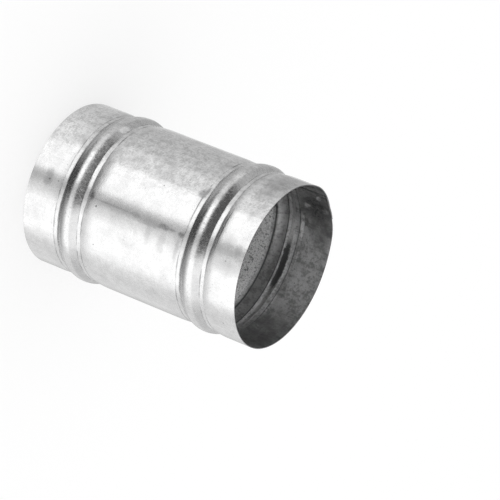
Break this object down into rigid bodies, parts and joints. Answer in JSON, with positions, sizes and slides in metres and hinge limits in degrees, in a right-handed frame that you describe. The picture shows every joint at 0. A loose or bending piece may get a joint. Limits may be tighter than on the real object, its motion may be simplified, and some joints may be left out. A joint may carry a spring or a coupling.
{
  "type": "duct connector",
  "caption": "Short round tube of thin galvanised sheet steel with plain collars and rolled beads, over which lengths of round duct are pushed and clamped end to end.",
  "frame": {"origin": "centre of the lower open end, on the surface that the tube stands on", "axes": "+Z along the tube's axis, up through the other open end; +Y towards the lapped seam"},
  "size_m": [0.1028, 0.1028, 0.15],
  "materials": {
    "galvanised_sheet": "zinc-coated sheet, bright, with cloudy smudges and faint streaks along the tube"
  },
  "bodies": {
    "root": {"connector_tube": "galvanised_sheet"}
  },
  "joints": []
}
